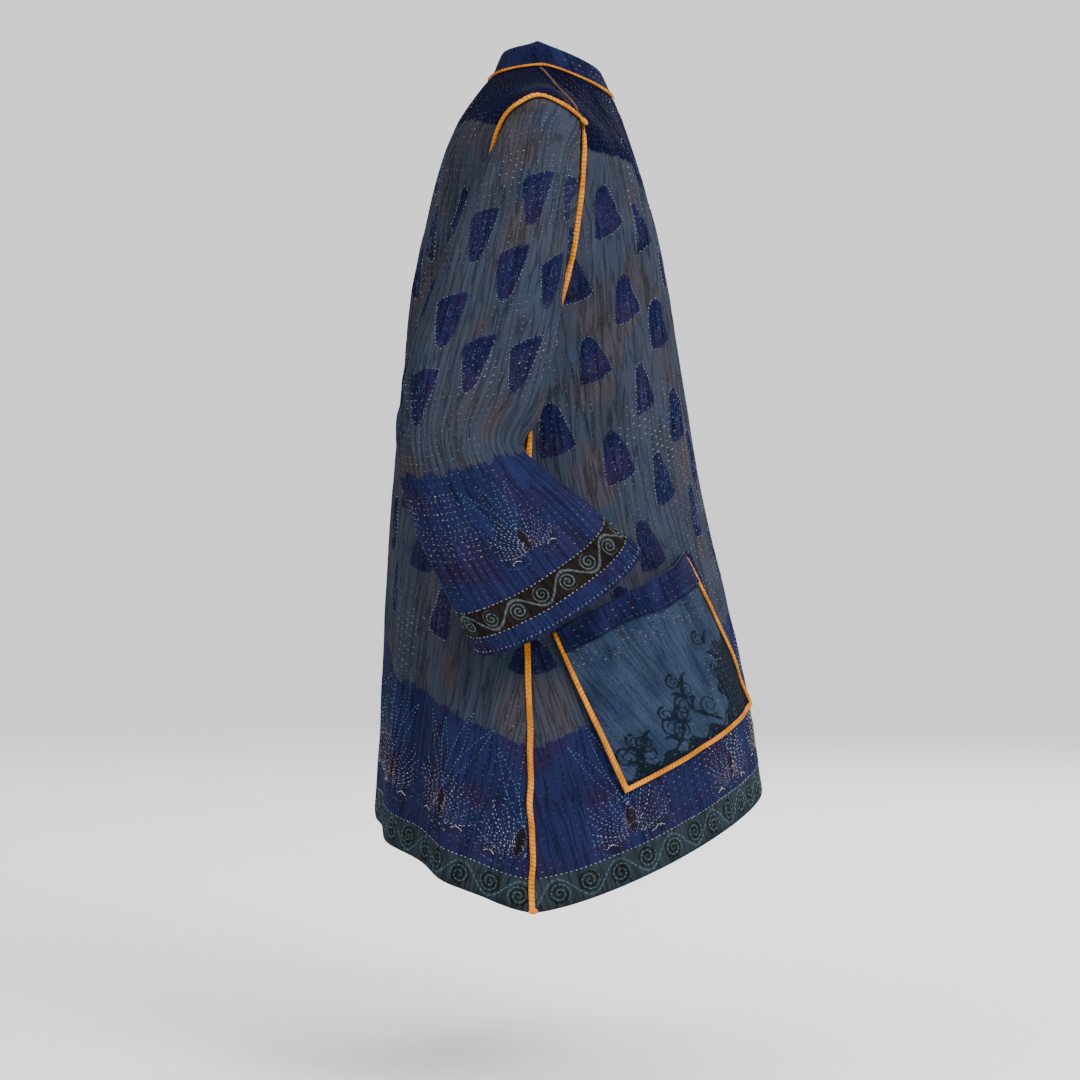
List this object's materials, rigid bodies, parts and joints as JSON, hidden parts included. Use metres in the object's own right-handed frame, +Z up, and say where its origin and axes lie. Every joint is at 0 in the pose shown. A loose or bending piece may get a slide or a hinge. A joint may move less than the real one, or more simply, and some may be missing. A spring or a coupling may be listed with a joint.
{
  "type": "quilted jacket",
  "caption": "Hip-length quilted cotton jacket worn open, with a stand collar, wide sleeves with raised ridges, bound seams, slanted patch pockets and a hem that dips at the sides",
  "frame": {"origin": "between the shoulders at the height of the back of the neck, where a wearer holds the jacket up", "axes": "+Z up, the jacket faces -Y, its right side is at -X"},
  "size_m": [0.6428, 0.364, 0.7828],
  "materials": {
    "quilted_cotton": "matte quilted cotton",
    "navy_cotton": "matte cotton",
    "printed_blue_cotton": "matte printed cotton",
    "orange_binding": "matte cotton binding"
  },
  "bodies": {
    "root": {"back": "quilted_cotton", "binding_armhole_left": "orange_binding", "binding_armhole_right": "orange_binding", "binding_neck": "orange_binding", "binding_pocket_left": "orange_binding", "binding_pocket_right": "orange_binding", "binding_shoulder_left": "orange_binding", "binding_shoulder_right": "orange_binding", "binding_side_left": "orange_binding", "binding_side_right": "orange_binding", "collar": "navy_cotton", "front_left": "quilted_cotton", "front_right": "quilted_cotton", "pocket_band_left": "navy_cotton", "pocket_band_right": "navy_cotton", "pocket_left": "printed_blue_cotton", "pocket_right": "printed_blue_cotton", "sleeve_left": "quilted_cotton", "sleeve_right": "quilted_cotton"}
  },
  "joints": []
}
